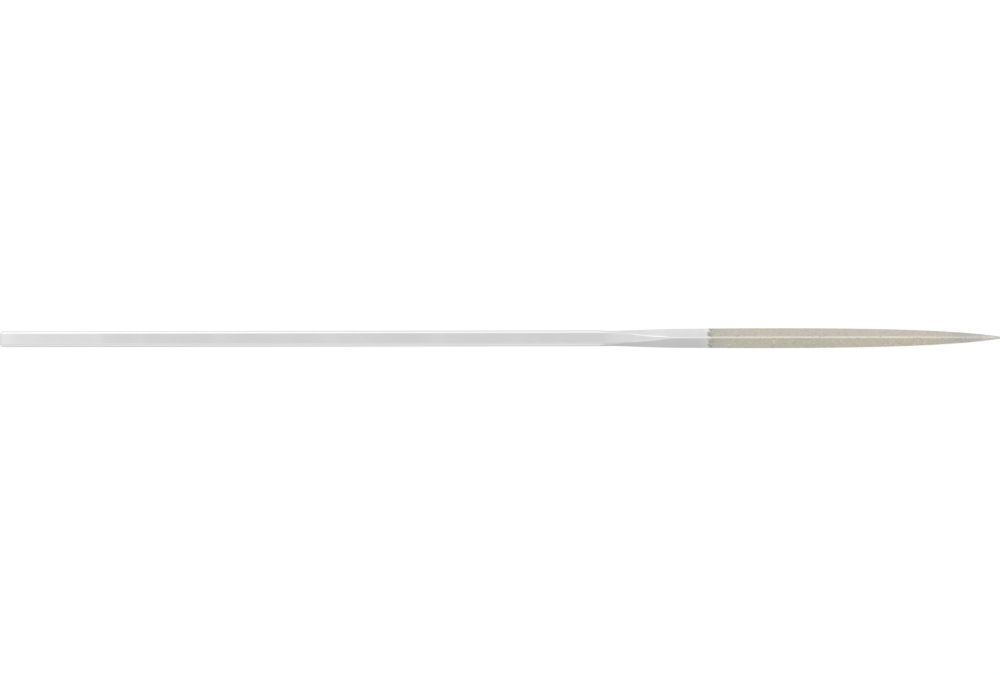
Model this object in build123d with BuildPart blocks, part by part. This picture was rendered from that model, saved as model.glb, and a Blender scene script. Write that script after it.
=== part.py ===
from build123d import *
import math
import os

# A three-sided diamond file with a square shank, in millimetres. +X runs along the file's axis from
# the middle of the butt end, which is the origin, to the tip. +Z is the side of the ridge, where the
# two upper faces of the blade meet, and the third face looks down.
file_length = 215.0

# Square shank, which a handle, a collet or the fingers hold.
shank_width = 3.34
shank_corner_radius = 0.62
butt_bevel = 0.4

# Transition from four sides to three. Its reaches are measured from the end of the shank: the foot
# keeps the shank's width for the first of them, and over the second the upper flat narrows to a land
# that is all but gone where the blade's ridge begins.
transition_length = 20.0
foot_reach = 3.4
ridge_reach = 15.9
ridge_land = 0.012

# Blade core, measured across its two lower edges: at the root, at its widest and at the blunt tip.
blade_length = 66.4
root_width = 4.13
blade_width = 4.26
tip_width = 0.43
edge_radius = 0.15

# Diamond coating: nickel plated over the blade, and the proud grains that are sunk in it after a
# bare margin.
coated_length = 64.5
margin_length = 1.7
bond_thickness = 0.035
grain_width = 0.11
grain_rise = 0.034
grain_depth = 0.02
grain_sink = 0.008
grain_clearance = 0.001
grains_per_face = 28

# Belly of the three faces: the shares of the blade's length, counted from the tip, and of its
# greatest width where one arc of the belly passes into the next. The first is the widest place.
belly_reach_shares = [0.753, 0.452, 0.241, 0.0904]
belly_width_shares = [1.0, 0.932, 0.739, 0.4365]

# Shares of the transition's length where it has a section, and the powers that say how fast its
# corners sharpen, how soon its ridge rises and how soon its foot widens.
turn_shares = [0.0, 0.08, 0.165, 0.28, 0.42, 0.56, 0.69, 0.8, 0.9, 1.0]
sharpening_power = 4
rising_power = 1.3
widening_power = 1.1

# A grain's flat table as a share of its width, and the steps that scatter the grains over a face
# and turn each one its own way.
table_share = 0.25
scatter_share = 0.618
turn_step = 137.5

# The three faces are alike, a third of a turn apart, with one of them underneath.
face_turns = (60, 180, 300)

shank_length = file_length - transition_length - blade_length
shank_half = shank_width / 2
root_3 = math.sqrt(3)

# Two rounds of chamfers, as shares of the edge radius, whose flats all touch the rounding's circle.
edge_cut_shares = [2 / root_3, 1 / root_3 - math.tan(math.radians(15))]


def face_height(width):
    """How far a face lies from the axis where the rounded lower edges are that width apart."""
    return (width / 2 + (root_3 - 1) * edge_radius) / root_3


def draw_belly(coat):
    """The belly from root to tip as tangent arcs, with a coat of that thickness, and its two ends."""
    places = [
        (file_length - reach * blade_length, face_height(width * blade_width) + coat)
        for reach, width in zip(belly_reach_shares, belly_width_shares)
    ]
    root = (file_length - blade_length, face_height(root_width) + coat)
    tip = (file_length - bond_thickness + coat, face_height(tip_width) + coat)
    TangentArc(places[0], root, tangent=(-1, 0))
    arc = TangentArc(places[0], places[1], tangent=(1, 0))
    for place in places[2:] + [tip]:
        arc = TangentArc(arc @ 1, place, tangent=arc % 1)
    return root, tip


def ground_blade(coat):
    """Three faces ground to the same belly, and three narrow flats that round each edge of them."""
    with BuildPart() as blade:
        for turn in face_turns:
            with BuildSketch(Plane.XZ.rotated((turn, 0, 0))):
                with BuildLine():
                    root, tip = draw_belly(coat)
                    Polyline(tip, (tip[0], -blade_width), (root[0], -blade_width), root)
                make_face()
            first = turn == face_turns[0]
            extrude(amount=blade_width, both=True, mode=Mode.ADD if first else Mode.INTERSECT)
        for cut_share in edge_cut_shares:
            long_edges = blade.edges().filter_by(GeomType.LINE, reverse=True)
            chamfer(long_edges, cut_share * (edge_radius + coat))
    return blade.part


def turning_section(share):
    """The section at a share of the transition, between the square shank and the blade's root."""
    reach = share * transition_length
    root_height = face_height(root_width)
    root_top_half = edge_radius / root_3 + ridge_land / 2
    root_top_z = 2 * root_height - root_3 * root_top_half
    lifting = math.sin(math.pi / 2 * share ** rising_power)
    narrowing = min(reach / ridge_reach, 1)
    past_foot = max(reach - foot_reach, 0) / (transition_length - foot_reach)
    widening = math.sin(math.pi / 2 * past_foot ** widening_power)
    base_half = shank_half + (root_3 * root_height - shank_half) * widening
    base_z = (shank_half - root_height) * lifting - shank_half
    top_half = shank_half + (root_top_half - shank_half) * narrowing
    top_z = shank_half + (root_top_z - shank_half) * lifting
    sharpened = (shank_corner_radius - edge_radius) * (1 - share) ** sharpening_power
    with BuildSketch(Plane.YZ.offset(shank_length + reach)) as section:
        with BuildLine():
            Polyline(
                (-base_half, base_z),
                (base_half, base_z),
                (top_half, top_z),
                (-top_half, top_z),
                close=True,
            )
        make_face()
        fillet(section.vertices(), edge_radius + sharpened)
    return section.sketch


# Steel blank: shank, transition and blade core in one piece.
with BuildPart() as steel_blank:
    with BuildSketch(Plane.YZ):
        RectangleRounded(shank_width, shank_width, shank_corner_radius)
    extrude(amount=shank_length)
    chamfer(steel_blank.faces().sort_by(Axis.X)[0].edges(), butt_bevel)
    loft(sections=[turning_section(share) for share in turn_shares])
    add(ground_blade(0))
steel_blank.part.label = "steel_blank"


def crystal(gap):
    """A blunt octahedron about its own middle plane, grown all round by a gap."""
    inner_half = (grain_width / 2 + gap) / math.sqrt(2)
    with BuildPart() as grain:
        for direction, height in ((1, grain_rise + gap), (-1, grain_depth + gap)):
            lean = math.degrees(math.atan2(inner_half * (1 - table_share), height))
            with BuildSketch():
                RegularPolygon(grain_width / 2 + gap, 4)
            extrude(amount=direction * height, taper=lean)
    return grain.part


# Seats of the grains: spread from the margin to the tip along each face's belly, whose wire starts at
# the tip.
with BuildLine() as belly:
    draw_belly(bond_thickness)
belly_wire = belly.wire()
grain_seats = []
for turn in face_turns:
    for count in range(grains_per_face):
        to_tip = (coated_length - margin_length) * (1 - (count + 0.5) / grains_per_face)
        spot = belly_wire @ (to_tip / blade_length)
        slope = belly_wire % (to_tip / blade_length)
        flat_half = root_3 * (spot.Y - edge_radius - bond_thickness) - grain_width / 2
        across = flat_half * (2 * (count * scatter_share % 1) - 1)
        seat = Plane(
            origin=(spot.X, across, spot.Y - grain_sink),
            x_dir=(-slope.X, 0, -slope.Y),
            z_dir=(slope.Y, 0, -slope.X),
        )
        face_side = Location((0, 0, 0), (turn, 0, 0))
        own_turn = Location((0, 0, 0), (0, 0, count * turn_step))
        grain_seats.append(face_side * Location(seat) * own_turn)

# Diamond grains: the ones that stand proud, each a separate crystal half sunk in the nickel.
with BuildPart() as diamond_grains:
    with Locations(*grain_seats):
        add(crystal(0))
diamond_grains.part.label = "diamond_grains"

with BuildPart() as grain_pockets:
    with Locations(*grain_seats):
        add(crystal(grain_clearance))

# Nickel bond: a closed shell that fits the core from the coating's first edge to past the tip, with
# a pocket for each grain.
with BuildPart() as nickel_bond:
    add(ground_blade(bond_thickness))
    split(bisect_by=Plane.YZ.offset(file_length - coated_length), keep=Keep.TOP)
    add(grain_pockets.part, mode=Mode.SUBTRACT)
    add(steel_blank.part, mode=Mode.SUBTRACT)
nickel_bond.part.label = "nickel_bond"

os.makedirs("parts", exist_ok=True)
export_step(steel_blank.part, "parts/steel_blank.step")
export_step(nickel_bond.part, "parts/nickel_bond.step")
export_step(diamond_grains.part, "parts/diamond_grains.step")
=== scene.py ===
import math
import random

import bpy
from mathutils import Matrix, Vector


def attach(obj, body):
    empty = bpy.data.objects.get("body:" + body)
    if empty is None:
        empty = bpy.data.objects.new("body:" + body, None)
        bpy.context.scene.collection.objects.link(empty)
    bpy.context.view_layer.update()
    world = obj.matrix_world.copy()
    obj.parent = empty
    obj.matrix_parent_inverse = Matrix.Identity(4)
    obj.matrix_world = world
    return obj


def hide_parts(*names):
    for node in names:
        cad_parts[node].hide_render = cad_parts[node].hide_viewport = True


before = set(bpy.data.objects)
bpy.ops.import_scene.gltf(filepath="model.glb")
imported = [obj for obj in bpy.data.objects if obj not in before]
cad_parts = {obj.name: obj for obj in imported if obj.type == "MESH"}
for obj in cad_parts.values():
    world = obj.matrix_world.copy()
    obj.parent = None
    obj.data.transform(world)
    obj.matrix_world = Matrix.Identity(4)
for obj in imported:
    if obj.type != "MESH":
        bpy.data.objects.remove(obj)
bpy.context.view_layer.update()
print("frame loaded:", sorted(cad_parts))

mm = 0.001  # sizes below are in millimetres, meshes in metres
root3 = math.sqrt(3)
thirdTurn = math.radians(120)

# The steel bar: square shank, transition and three-sided blade core. Lists of pairs hold a reach
# along the file, from the butt end, and the value there.
blank = {
    "length": 214.965,  # the core stops just inside the nickel at the tip
    "shankWidth": 3.34,
    "cornerRadius": 0.62,
    "buttBevel": 0.4,
    "bevelSoftness": 0.02,  # rounding of the bevel's two edges
    "turnLength": 20.0,
    "footReach": 3.4,  # how far the foot keeps the shank's width
    "ridgeReach": 15.9,  # where the upper flat has narrowed down to the ridge's land
    "ridgeLand": 0.012,
    "sharpeningPower": 4,
    "risingPower": 1.3,
    "wideningPower": 1.1,
    "bladeStart": 148.6,
    "edgeRadius": 0.15,
    "topSoftness": [(134.6, 0.0), (137.4, 0.24), (140.0, 0.36), (145.0, 0.0)],  # more radius on top
    "topRoom": 1.3,  # the most radius on top, over the upper flat's half width
    "cornerSteps": 8,
    "holdWidth": 0.08,  # strip of flat kept flat beside each rounding
    "shankStep": 4.0,
    "turnStep": 0.2,
    "bladeStep": 0.6,
    "sharpAngle": 40,  # edges that bend by more degrees than this stay sharp
    # How bright the corners are made: partly rubbed wear, partly a painted highlight along each
    # rounding. All levels are multiplied.
    "wearAndSheenAside": 0.5,  # at the two sides of a rounding, with 1 along its middle
    "lowerEdgeWearAndSheen": 0.15,
    "cornerWearAndSheen": [(128.6, 1.0), (130.6, 0.1), (135.0, 0.05), (136.4, 1.0)],
    # On this corner the levels follow a painted highlight as much as wear.
    "farCornerWearAndSheen": [  # on the upper left corner
        (0, 0), (3, 0.3), (6, 1), (20, 1), (85, 0.6), (128, 0.5), (136.4, 0.3), (139, 0.3), (142, 1),
    ],
}

# The belly of the blade core, measured across its two lower edges.
belly = {
    "tip": 215.0,
    "length": 66.4,
    "tipWidth": 0.43,
    "fullWidth": 4.27,
    "reachPower": 3.97,
    "widthPower": 0.855,
    "rootPinch": 0.13,  # how much narrower the root is
    "pinchLength": 17.7,
}


def between(stops, x):  # the level at x, on straight lines through the pairs
    if x <= stops[0][0]:
        return stops[0][1]
    for (low, first), (high, second) in zip(stops, stops[1:]):
        if x <= high:
            return first + (second - first) * (x - low) / (high - low)
    return stops[-1][1]


def coreWidth(x):
    toTip = min(max(belly["tip"] - x, 0), belly["length"])
    grown = (1 - (1 - toTip / belly["length"]) ** belly["reachPower"]) ** belly["widthPower"]
    past = max(toTip - belly["length"] + belly["pinchLength"], 0) / belly["pinchLength"]
    pinch = belly["rootPinch"] * (1 - math.cos(math.pi * past)) / 2
    return belly["tipWidth"] + (belly["fullWidth"] - belly["tipWidth"]) * grown - pinch


def faceHeight(x):  # from the axis to each of the three faces
    return (coreWidth(x) / 2 + (root3 - 1) * blank["edgeRadius"]) / root3


def cornered(baseHalf, baseZ, topHalf, topZ):
    return [(-baseHalf, baseZ), (baseHalf, baseZ), (topHalf, topZ), (-topHalf, topZ)]


def bladeCorners(x, thickness):
    height = faceHeight(x) + thickness
    radius = blank["edgeRadius"] + thickness
    topHalf = radius / root3 + blank["ridgeLand"] / 2
    corners = cornered(root3 * height, -height, topHalf, 2 * height - root3 * topHalf)
    return corners, [radius] * 4


def turnCorners(x):
    shankHalf = blank["shankWidth"] / 2
    reach = x - (blank["bladeStart"] - blank["turnLength"])
    share = min(max(reach / blank["turnLength"], 0), 1)
    rootHeight = faceHeight(blank["bladeStart"])
    rootTopHalf = blank["edgeRadius"] / root3 + blank["ridgeLand"] / 2
    rootTopZ = 2 * rootHeight - root3 * rootTopHalf
    lift = math.sin(math.pi / 2 * share ** blank["risingPower"])
    narrow = min(max(reach / blank["ridgeReach"], 0), 1)
    pastFoot = (reach - blank["footReach"]) / (blank["turnLength"] - blank["footReach"])
    widening = math.sin(math.pi / 2 * min(max(pastFoot, 0), 1) ** blank["wideningPower"])
    corners = cornered(
        shankHalf + (root3 * rootHeight - shankHalf) * widening,
        (shankHalf - rootHeight) * lift - shankHalf,
        shankHalf + (rootTopHalf - shankHalf) * narrow,
        shankHalf + (rootTopZ - shankHalf) * lift,
    )
    radius = blank["edgeRadius"]
    radius += (blank["cornerRadius"] - blank["edgeRadius"]) * (1 - share) ** blank["sharpeningPower"]
    mostOnTop = blank["topRoom"] * corners[2][0]
    topRadius = max(radius, min(radius + between(blank["topSoftness"], x), mostOnTop))
    return corners, [radius, radius, topRadius, topRadius]


def roundedRing(corners, radii):
    ring = []
    count = len(corners)
    for place, (corner, radius) in enumerate(zip(corners, radii)):
        here = Vector(corner)
        back = Vector(corners[place - 1]) - here
        onward = Vector(corners[(place + 1) % count]) - here
        half = back.angle(onward) / 2
        tangent = radius / math.tan(half)
        backHold = min(blank["holdWidth"], max(back.length / 2 - tangent, 0) / 2)
        onwardHold = min(blank["holdWidth"], max(onward.length / 2 - tangent, 0) / 2)
        back.normalize()
        onward.normalize()
        middle = here + (back + onward).normalized() * radius / math.sin(half)
        first = here + back * tangent - middle
        sweep = math.pi - 2 * half
        ring.append(here + back * (tangent + backHold))
        for step in range(blank["cornerSteps"] + 1):
            turn = Matrix.Rotation(sweep * step / blank["cornerSteps"], 2)
            ring.append(middle + turn @ first)
        ring.append(here + onward * (tangent + onwardHold))
    return ring


# The corners' value is rubbed wear together with a painted highlight along each rounding.
def addWearAndSheen(mesh, rings):  # a value for the materials: most along each rounding, 0 on the flats
    steps = blank["cornerSteps"]
    aside = blank["wearAndSheenAside"]
    swell = [aside + (1 - aside) * math.sin(math.pi * step / steps) for step in range(steps + 1)]
    rubbedAndSheen = [0.0] + swell + [0.0]
    spared = [value * blank["lowerEdgeWearAndSheen"] for value in rubbedAndSheen]
    wornAndSheen = []
    for x, ring in rings:
        kept = between(blank["cornerWearAndSheen"], x)
        far = [value * between(blank["farCornerWearAndSheen"], x) for value in rubbedAndSheen]
        wornAndSheen += [value * kept for value in spared * 2 + far + rubbedAndSheen]
    wearAndSheen = mesh.attributes.new("wearAndSheen", "FLOAT", "POINT")
    wearAndSheen.data.foreach_set("value", wornAndSheen)


def meshFromRings(name, rings):  # rings is a list of (x, ring); both ends are closed
    count = len(rings[0][1])
    points = [(x * mm, y * mm, z * mm) for x, ring in rings for y, z in ring]
    faces = []
    for row in range(len(rings) - 1):
        for column in range(count):
            after = (column + 1) % count
            here = row * count
            faces.append((here + column, here + after, here + count + after, here + count + column))
    faces.append(tuple(reversed(range(count))))
    faces.append(tuple(range((len(rings) - 1) * count, len(rings) * count)))
    mesh = bpy.data.meshes.new(name)
    mesh.from_pydata(points, [], faces)
    mesh.validate()
    mesh.update()
    mesh.shade_smooth()
    mesh.set_sharp_from_angle(angle=math.radians(blank["sharpAngle"]))
    addWearAndSheen(mesh, rings)
    piece = bpy.data.objects.new(name, mesh)
    bpy.context.collection.objects.link(piece)
    return piece


def spread(start, stop, step):  # even places from start to just before stop, about a step apart
    count = max(round((stop - start) / step), 1)
    return [start + (stop - start) * place / count for place in range(count)]


def makeBlank():
    shankHalf = blank["shankWidth"] / 2
    bevel = blank["buttBevel"]
    soft = blank["bevelSoftness"]
    hold = blank["holdWidth"]
    # reach and inset of the rings round the bevel; those a hold away keep the flats beside it flat
    bevelRings = [
        (0, bevel + soft),
        (soft / 2, bevel),
        (soft / 2 + hold, bevel - hold),
        (bevel - hold, soft / 2 + hold),
        (bevel, soft / 2),
        (bevel + soft, 0),
        (bevel + soft + hold, 0),
    ]
    rings = []
    for x, inset in bevelRings:
        half = shankHalf - inset
        radius = blank["cornerRadius"] - inset / 2
        rings.append((x, roundedRing(cornered(half, -half, half, half), [radius] * 4)))
    shankEnd = blank["bladeStart"] - blank["turnLength"]
    shankPlaces = spread(2 * bevel, shankEnd, blank["shankStep"])
    turnPlaces = spread(shankEnd, blank["bladeStart"], blank["turnStep"])
    for x in shankPlaces + turnPlaces:
        rings.append((x, roundedRing(*turnCorners(x))))
    for x in spread(blank["bladeStart"], blank["length"], blank["bladeStep"]) + [blank["length"]]:
        rings.append((x, roundedRing(*bladeCorners(x, 0))))
    return meshFromRings("steelBlank", rings)


# The electroplated nickel, a thin coat over the blade core.
coat = {
    "start": 150.5,
    "gritStart": 152.2,  # the bare bright margin ends here and the grit begins
    "thickness": 0.012,
    "lipLength": 0.25,
    "lipShares": [0, 0.1, 0.3, 0.6],  # where the lip has its rings
    "lipRise": 0.002,  # its first ring already stands off the steel by this
    "tipRounding": 0.12,
    "tipSteps": 4,
    "tipPinch": 0.35,  # how much narrower the rounding ends, as a share
    "step": 0.25,
}


def makeCoat():
    rings = []
    for share in coat["lipShares"]:
        thickness = coat["thickness"] * math.sin(math.pi / 2 * share) + coat["lipRise"]
        x = coat["start"] + coat["lipLength"] * share
        rings.append((x, roundedRing(*bladeCorners(x, thickness))))
    lipEnd = coat["start"] + coat["lipLength"]
    roundStart = belly["tip"] - coat["tipRounding"]
    for x in spread(lipEnd, roundStart, coat["step"]):
        rings.append((x, roundedRing(*bladeCorners(x, coat["thickness"]))))
    for step in range(coat["tipSteps"] + 1):
        turn = math.pi / 2 * step / coat["tipSteps"]
        corners, radii = bladeCorners(roundStart, coat["thickness"])
        shrink = 1 - (1 - math.cos(turn)) * coat["tipPinch"]
        corners = [(y * shrink, z * shrink) for y, z in corners]
        ring = roundedRing(corners, [radius * shrink for radius in radii])
        rings.append((roundStart + coat["tipRounding"] * math.sin(turn), ring))
    return meshFromRings("nickelCoat", rings)


# The diamond grains: thousands of small crystals sunk in the nickel on every side of the blade.
grit = {
    "count": 16000,
    "seed": 41,
    "smallest": 0.05,
    "largest": 0.12,
    "proud": 0.022,  # how far the tallest stand out of the nickel
    "lowest": 0.4,  # the lowest stand out this share of that
    "trim": 0.75,  # the share of its size that a crystal's corner reaches at least
    "squash": 0.5,  # how deep it sits, as a share of its size
    "startRagged": 0.22,
    "tipKeep": 0.15,  # no crystal this close to the tip
    "lumpGrains": 6,
    "lumpSpread": 1.8,  # a lump's width grows by this before its crystals are scattered
    "strayAlong": 3,  # and over these it is how far they stray from the middle
    "strayAcross": 4,
    "lumpSizes": (0.5, 0.8),  # smallest and largest of them, as shares of that width
    "lumpRise": 0.08,
    "lumpLowest": 0.5,
}

# Lumps of nickel and stuck grains: reach along the file, side (1 is up in the photo, -1 down),
# place across from the ridge, width.
lumps = [
    (152.5, 1, 0.75, 0.2), (152.7, 1, 0.6, 0.24), (153.1, 1, 0.5, 0.2), (153.3, 1, 0.72, 0.16),
    (152.6, -1, 0.1, 0.2), (152.4, -1, 0.5, 0.16), (158.3, 1, 0.5, 0.2), (159.1, 1, 0.55, 0.16),
    (160.9, 1, 0.85, 0.14), (161.2, -1, 0.45, 0.18), (162.6, -1, 0.5, 0.2), (163.4, -1, 0.7, 0.16),
    (168.8, -1, 0.35, 0.2), (169.6, -1, 0.45, 0.22), (170.6, -1, 0.3, 0.18), (170.5, 1, 0.4, 0.18),
    (174.4, -1, 0.03, 0.16), (175.8, -1, 0.02, 0.16), (178.2, -1, 0.85, 0.18), (188.6, 1, 0.9, 0.18),
    (190.2, -1, 0.8, 0.2), (191.2, -1, 0.75, 0.16), (192.2, -1, 0.3, 0.18), (192.5, -1, 0.75, 0.2),
    (194.6, -1, 0.1, 0.18), (197.8, 1, 0.85, 0.18), (198.6, 1, 0.9, 0.16), (203.5, -1, 0.2, 0.14),
]


def outlineSpot(x, share):
    # a point on the nickel's outline and its outward direction; share 0 to 1 goes once round
    height = faceHeight(x) + coat["thickness"]
    radius = blank["edgeRadius"] + coat["thickness"]
    flatHalf = root3 * (height - radius)
    flat = 2 * flatHalf
    arc = radius * thirdTurn
    along = (share * 3 % 1) * (flat + arc)
    if along < flat:
        local = Vector((along - flatHalf, -height))
        out = Vector((0, -1))
    else:
        turn = (along - flat) / radius
        out = Vector((math.sin(turn), -math.cos(turn)))
        local = Vector((flatHalf, -(height - radius))) + out * radius
    spin = Matrix.Rotation(thirdTurn * int(share * 3), 2)
    return spin @ local, spin @ out


def lumpSpot(x, side, across):
    # the same on an upper face; across runs from 0 at the ridge to 1 at the outer edge
    height = faceHeight(x) + coat["thickness"]
    radius = blank["edgeRadius"] + coat["thickness"]
    spin = Matrix.Rotation(thirdTurn, 2)
    spot = spin @ Vector((root3 * (height - radius) * (1 - 2 * across), -height))
    out = spin @ Vector((0, -1))
    return Vector((side * spot.x, spot.y)), Vector((side * out.x, out.y))


crystalPoints = 6  # four corners round it, one on top and one below


def addCrystal(points, faces, seat, out, size, rise, rng):
    # a blunt eight-sided crystal, a little different each time
    along = Vector((1, 0, 0))
    across = out.cross(along)
    spin = rng.uniform(0, math.pi / 2)
    first = len(points)
    for corner in range(4):
        turn = spin + math.pi / 2 * corner
        reach = size / 2 * rng.uniform(grit["trim"], 1)
        points.append(seat + (along * math.cos(turn) + across * math.sin(turn)) * reach)
    points.append(seat + out * rise)
    points.append(seat - out * size * grit["squash"])
    for corner in range(4):
        after = (corner + 1) % 4
        faces.append((first + corner, first + after, first + 4))
        faces.append((first + after, first + corner, first + 5))


def makeGrit():
    rng = random.Random(grit["seed"])
    points = []
    faces = []
    longest = belly["tip"] - coat["gritStart"]
    while len(points) < grit["count"] * crystalPoints:
        x = coat["gritStart"] + longest * rng.random() - grit["startRagged"] * rng.random()
        if x > belly["tip"] - grit["tipKeep"]:
            continue
        if rng.random() > coreWidth(x) / belly["fullWidth"]:  # fewer where the blade is narrow
            continue
        spot, out = outlineSpot(x, rng.random())
        size = rng.uniform(grit["smallest"], grit["largest"])
        rise = grit["proud"] * rng.uniform(grit["lowest"], 1)
        seat = Vector((x, spot.x, spot.y))
        addCrystal(points, faces, seat, Vector((0, out.x, out.y)), size, rise, rng)
    smallOnes = len(points)
    for x, side, across, lumpWidth in lumps:
        spot, out = lumpSpot(x, side, across)
        outward = Vector((0, out.x, out.y))
        sideways = outward.cross(Vector((1, 0, 0)))
        width = lumpWidth * grit["lumpSpread"]
        for stray in range(grit["lumpGrains"]):
            seat = Vector((x + rng.gauss(0, width / grit["strayAlong"]), spot.x, spot.y))
            seat += sideways * rng.gauss(0, width / grit["strayAcross"])
            size = width * rng.uniform(*grit["lumpSizes"])
            rise = grit["lumpRise"] * rng.uniform(grit["lumpLowest"], 1)
            addCrystal(points, faces, seat, outward, size, rise, rng)
    print("crystals:", len(points) // crystalPoints)
    mesh = bpy.data.meshes.new("diamondGrit")
    mesh.from_pydata([point * mm for point in points], [], faces)
    mesh.update()
    lump = mesh.attributes.new("lump", "FLOAT", "POINT")
    lump.data.foreach_set("value", [0.0] * smallOnes + [1.0] * (len(points) - smallOnes))
    piece = bpy.data.objects.new("diamondGrit", mesh)
    bpy.context.collection.objects.link(piece)
    return piece


# Materials

def newTree(name):
    material = bpy.data.materials.new(name)
    material.use_nodes = True
    tree = material.node_tree
    return material, tree, tree.nodes["Principled BSDF"]


def addNode(tree, kind, **settings):
    node = tree.nodes.new(kind)
    for key, value in settings.items():
        setattr(node, key, value)
    return node


def feed(tree, socket, value):  # value is a number, a colour or another node's output
    if isinstance(value, bpy.types.NodeSocket):
        tree.links.new(value, socket)
    else:
        socket.default_value = value


def mathNode(tree, operation, first, second=0.0, third=0.0):
    node = addNode(tree, "ShaderNodeMath", operation=operation)
    for place, value in enumerate((first, second, third)):
        feed(tree, node.inputs[place], value)
    return node.outputs[0]


def rangeNode(tree, value, low, high, toLow=0.0, toHigh=1.0):
    node = addNode(tree, "ShaderNodeMapRange", interpolation_type="SMOOTHSTEP")
    for place, item in enumerate((value, low, high, toLow, toHigh)):
        feed(tree, node.inputs[place], item)
    return node.outputs[0]


def mixColour(tree, share, first, second, blend="MIX"):
    node = addNode(tree, "ShaderNodeMix", data_type="RGBA", blend_type=blend)
    for place, item in ((0, share), (6, first), (7, second)):  # its colour sockets are 6 and 7
        feed(tree, node.inputs[place], item)
    return node.outputs[2]


def stopsNode(tree, value, stops):  # runs softly through the given (reach, level) pairs
    node = addNode(tree, "ShaderNodeValToRGB")
    ramp = node.color_ramp
    ramp.interpolation = "EASE"
    low, high = stops[0][0], stops[-1][0]
    while len(ramp.elements) < len(stops):
        ramp.elements.new(0.5)
    for element, (reach, level) in zip(ramp.elements, stops):
        element.position = (reach - low) / (high - low)
        element.color = (level, level, level, 1)
    share = addNode(tree, "ShaderNodeMapRange")
    for place, item in enumerate((value, low, high)):
        feed(tree, share.inputs[place], item)
    tree.links.new(share.outputs[0], node.inputs[0])
    return node.outputs[0]


def placeInMm(tree, stretch=(1, 1, 1)):
    coords = addNode(tree, "ShaderNodeTexCoord")
    mapping = addNode(tree, "ShaderNodeMapping")
    mapping.inputs["Scale"].default_value = [1 / mm * value for value in stretch]
    tree.links.new(coords.outputs["Object"], mapping.inputs["Vector"])
    return mapping.outputs[0]


def axesOf(tree, vector):  # its three numbers, along the file, across it and up
    node = addNode(tree, "ShaderNodeSeparateXYZ")
    tree.links.new(vector, node.inputs[0])
    return [node.outputs[place] for place in range(3)]


def noiseNode(tree, vector, scale, detail=2.0, rough=0.5):
    node = addNode(tree, "ShaderNodeTexNoise")
    for name, value in (("Vector", vector), ("Scale", scale), ("Detail", detail), ("Roughness", rough)):
        feed(tree, node.inputs[name], value)
    return node.outputs["Fac"]


def meshValue(tree, name):  # a value kept in the mesh, wearAndSheen or lump
    node = addNode(tree, "ShaderNodeAttribute", attribute_name=name)
    return node.outputs["Fac"]


def bumpNode(tree, height, strength, distance):
    node = addNode(tree, "ShaderNodeBump")
    node.inputs["Strength"].default_value = strength
    node.inputs["Distance"].default_value = distance * mm
    tree.links.new(height, node.inputs["Height"])
    return node.outputs[0]


# Apart from colours, which end with their opacity, brackets in the three materials hold a range of
# a noise or of a place in mm, over which a level goes from 0 to 1. Where there are four numbers, the
# last two are the levels that it goes between instead.
steel = {
    "darker": (0.64, 0.64, 0.643, 1),
    "lighter": (0.688, 0.688, 0.688, 1),
    "tones": (0.35, 0.65),
    "paler": (0.8, 0.8, 0.8, 1),  # lighter along the file, most at the butt end and again in the transition
    "palerStops": [
        (0, 0.95), (6, 0.5), (14, 0.33), (21.3, 0.48), (23.2, 0.05), (32, 0),
        (129, 0), (134.5, 0.36), (140, 0.36), (144.5, 0),
    ],
    "rubbedAndSheen": (0.86, 0.86, 0.86, 1),  # the corners, worn bright and with a painted highlight along them
    "rim": (0.78, 0.78, 0.78, 1),  # what it mirrors at a grazing angle is tinted with this
    "roughs": (0.3, 0.7, 0.29, 0.34),
    "drawnScale": 9.0,  # fine lines along the file
    "drawnStretch": (0.05, 1, 1),
    "drawnDetail": 4,
    "drawnRough": 0.6,
    "cloudScale": 0.12,  # and slow changes of tone and gloss
    "cloudStretch": (1, 0.3, 0.3),
    "bumpStrength": 0.12,
    "bumpDepth": 0.004,
}


def makeSteel():
    material, tree, shader = newTree("drawnSteel")
    lengthened = placeInMm(tree, steel["drawnStretch"])
    drawn = noiseNode(tree, lengthened, steel["drawnScale"], steel["drawnDetail"], steel["drawnRough"])
    cloud = noiseNode(tree, placeInMm(tree, steel["cloudStretch"]), steel["cloudScale"])
    tone = mathNode(tree, "MULTIPLY", mathNode(tree, "ADD", drawn, cloud), 0.5)
    colour = mixColour(tree, rangeNode(tree, tone, *steel["tones"]), steel["darker"], steel["lighter"])
    along = axesOf(tree, placeInMm(tree))[0]
    colour = mixColour(tree, stopsNode(tree, along, steel["palerStops"]), colour, steel["paler"])
    # corners lighter: rubbed wear and a painted highlight
    colour = mixColour(tree, meshValue(tree, "wearAndSheen"), colour, steel["rubbedAndSheen"])
    bump = bumpNode(tree, drawn, steel["bumpStrength"], steel["bumpDepth"])
    feed(tree, shader.inputs["Base Color"], colour)
    feed(tree, shader.inputs["Roughness"], rangeNode(tree, cloud, *steel["roughs"]))
    feed(tree, shader.inputs["Normal"], bump)
    shader.inputs["Metallic"].default_value = 1
    shader.inputs["Specular Tint"].default_value = steel["rim"]
    return material


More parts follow.
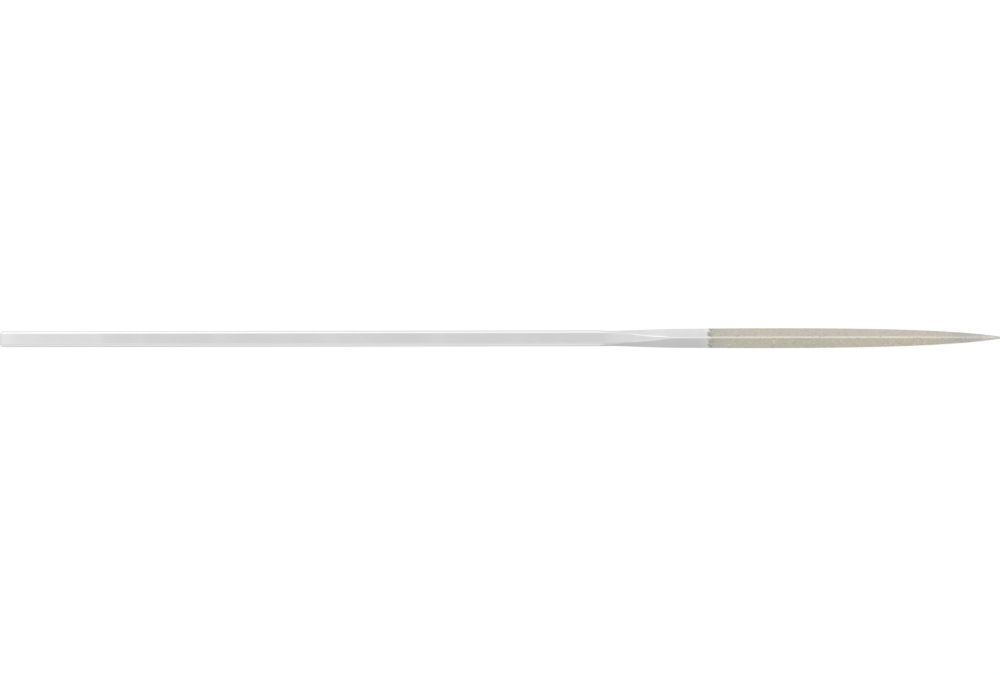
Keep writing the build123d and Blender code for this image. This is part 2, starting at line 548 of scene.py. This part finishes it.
plating = {
    # The bare margin.
    "margin": (0.66, 0.665, 0.65, 1),
    "marginLip": (0.715, 0.72, 0.685, 1),
    "lipGap": 0.4,  # brightest this far before the line
    "marginMetal": 1.0,
    "marginRough": 0.42,
    # The ragged line where the grit starts.
    "lineGap": 0.8,  # from the first crystals to the middle of the line
    "lineHalf": 0.1,
    "wander": 1.6,  # how far the line strays, and the ends of all patches with it
    "wanderScale": 1.1,
    "wanderDetail": 3,
    "lineDark": (0.36, 0.37, 0.335, 1),
    "lineFade": (0.3, 1.7),  # dark blotches and crowded specks fade out here, past the line
    "blotchScale": 1.3,
    "blotches": (0.42, 0.56, 0.24, 0.56),
    # Grounds, from the line to the tip.
    "startGrey": (0.55, 0.545, 0.48, 1),
    "settleLength": 7,
    "khaki": (0.638, 0.608, 0.491, 1),
    "nearKhakiShaded": (0.597, 0.59, 0.463, 1),  # greener and darker on the near face, along nearShadedStops: a tint with painted shade
    "nearSide": (-0.1, 0.0, 1, 0),
    "nearShadedStops": [(155, 0), (159, 1), (179, 1), (184, 0)],
    "rosy": (0.653, 0.592, 0.511, 1),
    "rosyStops": [
        (153, 0.2), (157, 0.9), (161, 0.1), (178, 0.1), (182, 0.9), (187, 0.2),
        (192, 0.2), (197, 0.9), (204, 0.5),
    ],
    "patchScale": 0.16,
    "patches": (0.35, 0.65, -0.4, 0.4),  # added to rosyStops
    "tipGrey": (0.57, 0.555, 0.525, 1),
    "tipGreyReach": (200.0, 209.0),
    "tipPale": (0.68, 0.66, 0.64, 1),
    "tipPaleReach": (209.0, 213.5),
    # Grain.
    "speckScale": 7.0,
    "speckDetail": 3,
    "speckRough": 0.6,
    "specks": (0.3, 0.7, -0.16, 0.16),
    "pitScale": 2.2,
    "pits": (0.3, 0.6, -0.07, 0.04),
    "gritMetal": 0.15,
    "gritRough": 0.62,
    "bumpStrength": 0.5,
    "bumpDepth": 0.012,
    # Edges made bright, partly by rubbed wear and partly by a painted highlight, and the ridge in a
    # painted highlight band of its own, mostly on its far side.
    "rubbedAndSheen": (0.97, 0.92, 0.775, 1),
    "ridgeShift": 0.065,
    "ridgeHalf": 0.17,
    "ridgeSoft": 0.03,
    "ridgeHighlight": 0.75,
    "ridgeUp": (0.0, 0.3),  # keeps the band off the under face
    "ridgeStops": [(152, 1), (192, 1), (196, 0.8), (206, 0.2)],
    "pitSparing": (0.25, 0.45, 0.6, 1.0),
    "tipSparing": (200, 207, 1.0, 0.65),
    # Dark flecks, pits with painted shade between the grains, and bright glints, painted highlights.
    # Where they crowd, and past the line, their noise is lifted, so that more of it passes the edge.
    "pitAndShadeDark": (0.3, 0.3, 0.27, 1),
    "flecks": {"scale": 1.9, "crowdLift": 0.07, "lineLift": 0.13, "edge": (0.71, 0.77), "share": 0.75},
    "glints": {"scale": 2.3, "crowdLift": 0.06, "lineLift": 0.08, "edge": (0.7, 0.76), "share": 0.7},
    "ragged": 0.22,  # how grainy their outlines are
    "crowdScale": 0.35,
    "crowds": (0.5, 0.62),
    "tipCrowd": 0.9,
    "nearCrowd": 0.3,
}


def groundColour(tree, place, wander, line, near, towardTip):
    patch = stopsNode(tree, wander, plating["rosyStops"])
    stray = rangeNode(tree, noiseNode(tree, place, plating["patchScale"]), *plating["patches"])
    patch = mathNode(tree, "ADD", patch, stray)
    # the near face greener and darker: a tint with painted shade
    nearShadedShare = mathNode(tree, "MULTIPLY", near, stopsNode(tree, wander, plating["nearShadedStops"]))
    colour = mixColour(tree, nearShadedShare, plating["khaki"], plating["nearKhakiShaded"])
    colour = mixColour(tree, patch, colour, plating["rosy"])
    settled = rangeNode(tree, wander, line, line + plating["settleLength"])
    colour = mixColour(tree, settled, plating["startGrey"], colour)
    colour = mixColour(tree, towardTip, colour, plating["tipGrey"])
    atTip = rangeNode(tree, wander, *plating["tipPaleReach"])
    return mixColour(tree, atTip, colour, plating["tipPale"])


# How bright the edges are painted: rubbed wear with a painted highlight, and a painted highlight band
# along the ridge.
def wornAndSheenShare(tree, axes, wander, pit):
    along, across, upward = axes
    half = plating["ridgeHalf"]
    soft = plating["ridgeSoft"]
    offRidge = mathNode(tree, "ABSOLUTE", mathNode(tree, "SUBTRACT", across, plating["ridgeShift"]))
    band = rangeNode(tree, offRidge, half - soft, half + soft, plating["ridgeHighlight"], 0)
    band = mathNode(tree, "MULTIPLY", band, rangeNode(tree, upward, *plating["ridgeUp"]))
    band = mathNode(tree, "MULTIPLY", band, stopsNode(tree, along, plating["ridgeStops"]))
    wornAndSheen = mathNode(tree, "MAXIMUM", meshValue(tree, "wearAndSheen"), band)
    wornAndSheen = mathNode(tree, "MULTIPLY", wornAndSheen, rangeNode(tree, pit, *plating["pitSparing"]))
    return mathNode(tree, "MULTIPLY", wornAndSheen, rangeNode(tree, wander, *plating["tipSparing"]))


def crowdShare(tree, place, near, towardTip):
    crowd = rangeNode(tree, noiseNode(tree, place, plating["crowdScale"], 1), *plating["crowds"])
    crowd = mathNode(tree, "MULTIPLY_ADD", towardTip, plating["tipCrowd"], crowd)
    crowd = mathNode(tree, "MULTIPLY_ADD", near, plating["nearCrowd"], crowd)
    return mathNode(tree, "MINIMUM", crowd, 1.0)


def spotShare(tree, place, facts, crowd, lineFade, ragged):
    noise = noiseNode(tree, place, facts["scale"], 1)
    lifted = mathNode(tree, "MULTIPLY_ADD", crowd, facts["crowdLift"], noise)
    lifted = mathNode(tree, "MULTIPLY_ADD", lineFade, facts["lineLift"], lifted)
    shown = rangeNode(tree, mathNode(tree, "ADD", lifted, ragged), *facts["edge"])
    return mathNode(tree, "MULTIPLY", shown, facts["share"])


def makePlating():
    material, tree, shader = newTree("diamondNickel")
    place = placeInMm(tree)
    axes = axesOf(tree, place)
    along, across = axes[:2]
    stray = noiseNode(tree, place, plating["wanderScale"], plating["wanderDetail"])
    wander = mathNode(tree, "MULTIPLY_ADD", stray, plating["wander"], along)
    line = coat["gritStart"] + plating["lineGap"]
    gritty = rangeNode(tree, wander, line - plating["lineHalf"], line + plating["lineHalf"])
    fadeStart, fadeEnd = plating["lineFade"]
    lineFade = rangeNode(tree, wander, line + fadeStart, line + fadeEnd, 1, 0)
    towardTip = rangeNode(tree, wander, *plating["tipGreyReach"])
    near = rangeNode(tree, across, *plating["nearSide"])
    speck = noiseNode(tree, place, plating["speckScale"], plating["speckDetail"], plating["speckRough"])
    pit = noiseNode(tree, place, plating["pitScale"])

    colour = groundColour(tree, place, wander, line, near, towardTip)
    blotch = rangeNode(tree, noiseNode(tree, place, plating["blotchScale"]), *plating["blotches"])
    colour = mixColour(tree, mathNode(tree, "MULTIPLY", lineFade, blotch), colour, plating["lineDark"])
    specked = rangeNode(tree, speck, *plating["specks"])
    shade = mathNode(tree, "ADD", specked, rangeNode(tree, pit, *plating["pits"]))
    colour = mixColour(tree, 1.0, colour, mathNode(tree, "ADD", shade, 1.0), "MULTIPLY")
    # painted highlight on the ridge and the edges, with some rubbed wear
    colour = mixColour(tree, wornAndSheenShare(tree, axes, wander, pit), colour, plating["rubbedAndSheen"])
    crowd = crowdShare(tree, place, near, towardTip)
    ragged = mathNode(tree, "MULTIPLY_ADD", speck, plating["ragged"], -plating["ragged"] / 2)
    # dark flecks: pits, with painted shade between the grains
    flecks = spotShare(tree, place, plating["flecks"], crowd, lineFade, ragged)
    colour = mixColour(tree, flecks, colour, plating["pitAndShadeDark"])
    # bright glints: painted highlights
    glints = spotShare(tree, place, plating["glints"], crowd, lineFade, ragged)
    colour = mixColour(tree, glints, colour, plating["rubbedAndSheen"])

    nearLine = rangeNode(tree, along, coat["start"], line - plating["lipGap"])
    bare = mixColour(tree, nearLine, plating["margin"], plating["marginLip"])
    # the margin's corners the same: rubbed wear and a painted highlight
    bare = mixColour(tree, meshValue(tree, "wearAndSheen"), bare, steel["rubbedAndSheen"])
    colour = mixColour(tree, gritty, bare, colour)
    metal = rangeNode(tree, gritty, 0, 1, plating["marginMetal"], plating["gritMetal"])
    rough = rangeNode(tree, gritty, 0, 1, plating["marginRough"], plating["gritRough"])
    height = mathNode(tree, "MULTIPLY", speck, gritty)
    bump = bumpNode(tree, height, plating["bumpStrength"], plating["bumpDepth"])
    feed(tree, shader.inputs["Base Color"], colour)
    feed(tree, shader.inputs["Metallic"], metal)
    feed(tree, shader.inputs["Roughness"], rough)
    feed(tree, shader.inputs["Normal"], bump)
    return material


crystal = {
    "pale": (0.73, 0.705, 0.6, 1),
    "dull": (0.4, 0.39, 0.335, 1),
    # paler lumps: partly the nickel's own colour, partly a painted highlight on their tops
    "lump": (0.8, 0.77, 0.66, 1),
    "toneScale": 5.0,
    "tones": (0.35, 0.65),
    "roughs": (0.3, 0.7, 0.22, 0.5),
    "ior": 1.8,
}


def makeCrystal():
    material, tree, shader = newTree("dulledDiamond")
    tone = noiseNode(tree, placeInMm(tree), crystal["toneScale"], 1)
    colour = mixColour(tree, rangeNode(tree, tone, *crystal["tones"]), crystal["dull"], crystal["pale"])
    # lumps painted paler, partly a painted highlight
    colour = mixColour(tree, meshValue(tree, "lump"), colour, crystal["lump"])
    feed(tree, shader.inputs["Base Color"], colour)
    feed(tree, shader.inputs["Roughness"], rangeNode(tree, tone, *crystal["roughs"]))
    shader.inputs["IOR"].default_value = crystal["ior"]
    return material


def dress(piece, material, node):
    piece.data.materials.clear()
    piece.data.materials.append(material)
    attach(piece, "root")
    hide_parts(node)


dress(makeBlank(), makeSteel(), "steel_blank")
print("steel blank done")
dress(makeCoat(), makePlating(), "nickel_bond")
print("nickel coat done")
dress(makeGrit(), makeCrystal(), "diamond_grains")
print("grit done")

# Floor, lamps and sky, in metres.
studio = {
    "floorSize": 6.0,
    "floorColour": (0.9, 0.9, 0.9, 1),  # how the floor lights the file
    "glow": 0.85,  # for the camera the floor glows, and this with floorDiffuse makes it white
    "floorDiffuse": 0.25,
    # What the metal mirrors of the floor, a glow with a painted shadow just before the file and far
    # behind it:
    # farther out before the file, just before it, just behind it and farther out behind it, and how far
    # from the file each passes into the next.
    "outerGlow": 0.93,
    "nearGlow": 0.61,
    "farGlow": 1.0,
    "farOuterGlow": 0.66,
    "outerFull": 0.016,
    "outerFrom": 0.008,
    "glowBlend": 0.004,
    "farOuterFrom": 0.006,
    "farOuterFull": 0.012,
    "skyLight": 0.6,
    "skyShine": 0.75,  # what the metal mirrors of the sky
}

# Lamps: way to the lamp as degrees up and degrees round from +Y towards +X, metres off, size, power.
lamps = {
    "topLamp": {"up": 70, "round": -90, "off": 1.5, "size": 1.4, "power": 1.35},
    "farLamp": {"up": 45, "round": 0, "off": 1.5, "size": 1.8, "power": 5.6},
    "nearLamp": {"up": 35, "round": 180, "off": 1.5, "size": 1.3, "power": 2.75, "mirrored": False},
    "nearShine": {"up": 25, "round": 180, "off": 1.5, "size": 1.2, "power": 0.5},
}


def seesWhite(tree):  # 1 for camera, glossy and transmission rays, 0 for the light that falls on things
    path = addNode(tree, "ShaderNodeLightPath")
    seen = mathNode(tree, "MAXIMUM", path.outputs["Is Camera Ray"], path.outputs["Is Glossy Ray"])
    return mathNode(tree, "MAXIMUM", seen, path.outputs["Is Transmission Ray"])


# The glow that mirrored rays see, with a painted shadow just before the file and farther out behind it.
def mirroredGlow(tree):
    across = axesOf(tree, addNode(tree, "ShaderNodeTexCoord").outputs["Object"])[1]
    blend = studio["glowBlend"]
    side = rangeNode(tree, across, -blend, blend, studio["nearGlow"], studio["farGlow"])
    rise = studio["outerGlow"] - studio["nearGlow"]
    outer = rangeNode(tree, across, -studio["outerFull"], -studio["outerFrom"], rise, 0.0)
    fall = studio["farOuterGlow"] - studio["farGlow"]
    farOuter = rangeNode(tree, across, studio["farOuterFrom"], studio["farOuterFull"], 0.0, fall)
    return mathNode(tree, "ADD", mathNode(tree, "ADD", side, outer), farOuter)


def makeFloor():
    half = studio["floorSize"] / 2
    level = -blank["shankWidth"] / 2 * mm
    corners = [(-half, -half, level), (half, -half, level), (half, half, level), (-half, half, level)]
    mesh = bpy.data.meshes.new("floor")
    mesh.from_pydata(corners, [], [(0, 1, 2, 3)])
    floor = bpy.data.objects.new("floor", mesh)
    bpy.context.collection.objects.link(floor)
    material = bpy.data.materials.new("paleFloor")
    material.use_nodes = True
    tree = material.node_tree
    tree.nodes.clear()
    diffuse = addNode(tree, "ShaderNodeBsdfDiffuse")
    diffuse.inputs["Color"].default_value = [studio["floorDiffuse"]] * 3 + [1]
    plain = addNode(tree, "ShaderNodeBsdfDiffuse")
    plain.inputs["Color"].default_value = studio["floorColour"]
    glow = addNode(tree, "ShaderNodeEmission")
    isCamera = addNode(tree, "ShaderNodeLightPath").outputs["Is Camera Ray"]
    strength = rangeNode(tree, isCamera, 0, 1, mirroredGlow(tree), studio["glow"])
    tree.links.new(strength, glow.inputs["Strength"])
    both = addNode(tree, "ShaderNodeAddShader")
    tree.links.new(diffuse.outputs[0], both.inputs[0])
    tree.links.new(glow.outputs[0], both.inputs[1])
    choose = addNode(tree, "ShaderNodeMixShader")
    tree.links.new(seesWhite(tree), choose.inputs[0])
    tree.links.new(plain.outputs[0], choose.inputs[1])
    tree.links.new(both.outputs[0], choose.inputs[2])
    out = addNode(tree, "ShaderNodeOutputMaterial")
    tree.links.new(choose.outputs[0], out.inputs[0])
    mesh.materials.append(material)


def makeSky():
    world = bpy.data.worlds.new("softSky")
    bpy.context.scene.world = world
    world.use_nodes = True
    tree = world.node_tree
    background = tree.nodes["Background"]
    background.inputs["Color"].default_value = (1, 1, 1, 1)
    path = addNode(tree, "ShaderNodeLightPath")
    shown = rangeNode(tree, seesWhite(tree), 0, 1, studio["skyLight"], studio["skyShine"])
    strength = rangeNode(tree, path.outputs["Is Camera Ray"], 0, 1, shown, 1.0)
    tree.links.new(strength, background.inputs["Strength"])


def makeLamp(name, facts):
    light = bpy.data.lights.new(name, "AREA")
    light.shape = "SQUARE"
    light.size = facts["size"]
    light.energy = facts["power"]
    lamp = bpy.data.objects.new(name, light)
    up = math.radians(facts["up"])
    turn = math.radians(facts["round"])
    way = Vector((math.cos(up) * math.sin(turn), math.cos(up) * math.cos(turn), math.sin(up)))
    lamp.location = Vector((blank["length"] / 2 * mm, 0, 0)) + way * facts["off"]
    lamp.rotation_euler = way.to_track_quat("Z", "Y").to_euler()
    lamp.visible_glossy = facts.get("mirrored", True)
    bpy.context.collection.objects.link(lamp)


makeFloor()
makeSky()
for name, facts in lamps.items():
    makeLamp(name, facts)
print("studio done")

# The camera looks almost straight down, from a little to the near side. Lengths are in metres.
lens = {
    "elevation": 87.5,
    "distance": 1.5,
    "roll": 0.086,
    "shown": 0.215,  # width of the picture at the file
    "aim": (0.1075, 0.00018, 0.0),
    "sensor": 36.0,  # in millimetres
    "farthest": 20,
}


def makeCamera():
    tilt = math.radians(lens["elevation"])
    back = Vector((0, -math.cos(tilt), math.sin(tilt)))
    right = Vector((1, 0, 0))
    up = back.cross(right)
    roll = math.radians(lens["roll"])
    level = right * math.cos(roll) - up * math.sin(roll)
    upright = up * math.cos(roll) + right * math.sin(roll)
    data = bpy.data.cameras.new("camera")
    data.sensor_width = lens["sensor"]
    data.lens = lens["sensor"] * lens["distance"] / lens["shown"]
    data.clip_end = lens["farthest"]
    camera = bpy.data.objects.new("camera", data)
    turn = Matrix((level, upright, back)).transposed().to_4x4()
    camera.matrix_world = Matrix.Translation(Vector(lens["aim"]) + back * lens["distance"]) @ turn
    bpy.context.collection.objects.link(camera)
    bpy.context.scene.camera = camera


makeCamera()
bpy.context.scene.view_settings.view_transform = "Standard"
